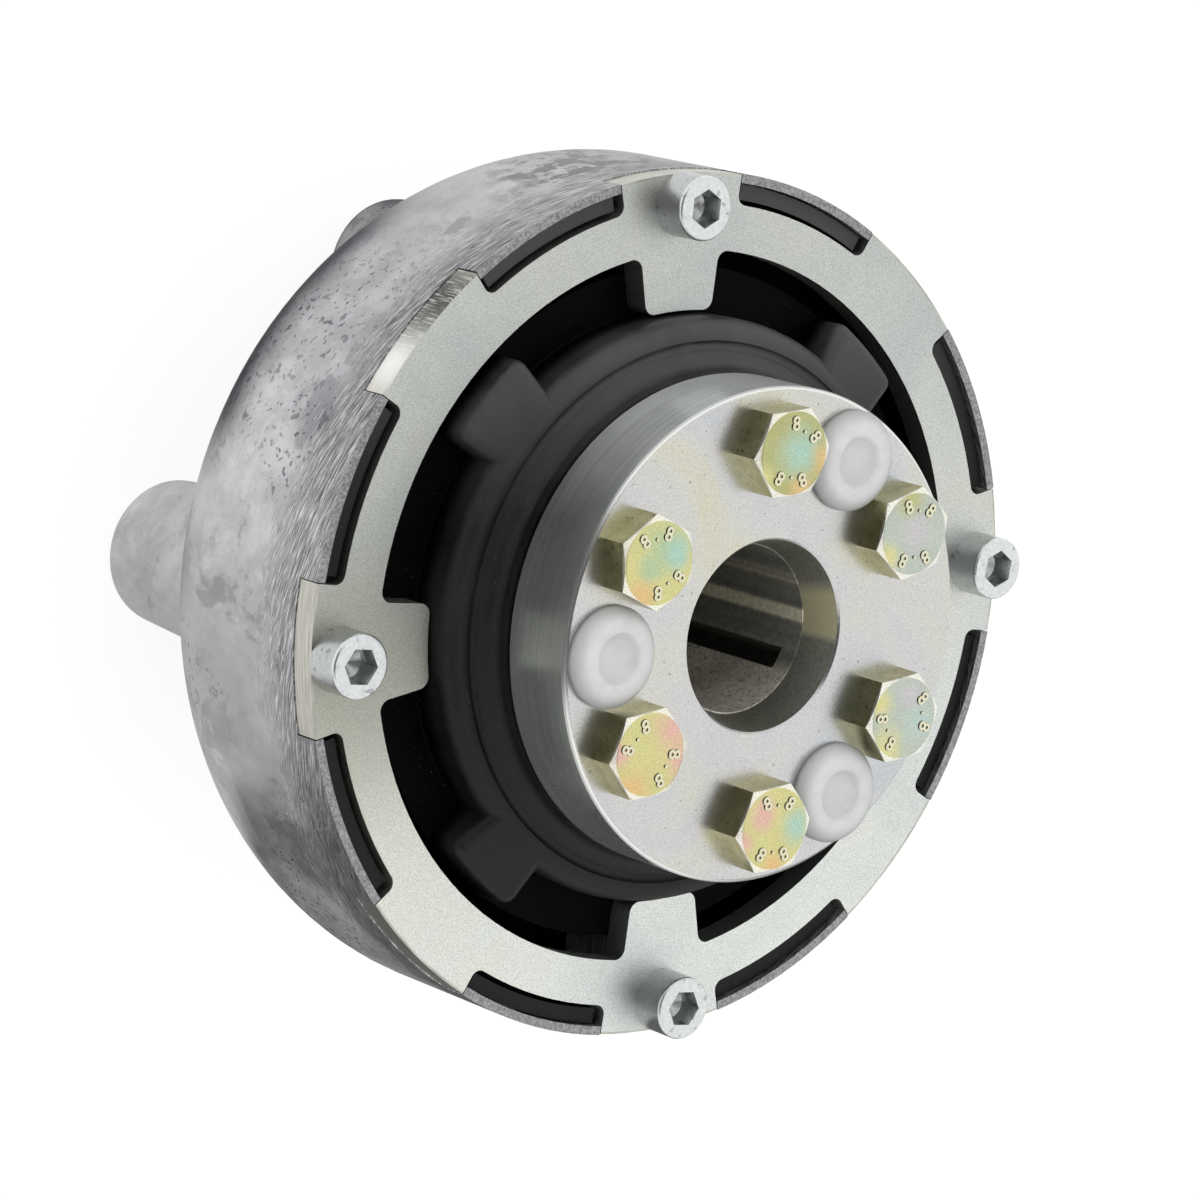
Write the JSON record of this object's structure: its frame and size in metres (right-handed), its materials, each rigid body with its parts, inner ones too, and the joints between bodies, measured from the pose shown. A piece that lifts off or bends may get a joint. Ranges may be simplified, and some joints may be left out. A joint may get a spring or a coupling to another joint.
{
  "type": "flexible shaft coupling",
  "caption": "Flexible shaft coupling: cast housing with rear bosses, castellated retaining ring, lobed rubber element and a bolted split-sleeve clamp hub.",
  "frame": {"origin": "centre of the plane of the four rear boss faces, on the shaft axis", "axes": "+Z along the shaft from the gearbox side to the clamp flange; X and Y through the four bosses, the four inner teeth and the four ring screws, so the rubber lobes lie at 45 degrees"},
  "size_m": [0.1812, 0.1812, 0.1394],
  "materials": {
    "cast_aluminium": "satin, as cast with a turned side",
    "pale_zinc_plate": "fine matt zinc plating, slightly yellow",
    "black_rubber": "matt moulded rubber with dust",
    "dark_steel": "plain machined steel, hidden",
    "sleeve_steel": "dark turned bore with fine pits",
    "bright_zinc_steel": "satin bright zinc plating",
    "yellow_zinc_bolt": "yellow chromated zinc with green and pink patches",
    "frosted_plastic": "frosted translucent plastic",
    "bright_zinc_screw": "bright zinc plating"
  },
  "bodies": {
    "root": {"housing": "cast_aluminium", "retaining_ring": "pale_zinc_plate", "rubber_element": "black_rubber", "inner_hub": "dark_steel", "split_sleeve": "sleeve_steel", "clamp_flange": "bright_zinc_steel", "hex_bolt_1": "yellow_zinc_bolt", "hex_bolt_2": "yellow_zinc_bolt", "hex_bolt_3": "yellow_zinc_bolt", "hex_bolt_4": "yellow_zinc_bolt", "hex_bolt_5": "yellow_zinc_bolt", "hex_bolt_6": "yellow_zinc_bolt", "thread_cap_1": "frosted_plastic", "thread_cap_2": "frosted_plastic", "thread_cap_3": "frosted_plastic", "ring_screw_1": "bright_zinc_screw", "ring_screw_2": "bright_zinc_screw", "ring_screw_3": "bright_zinc_screw", "ring_screw_4": "bright_zinc_screw"}
  },
  "joints": []
}
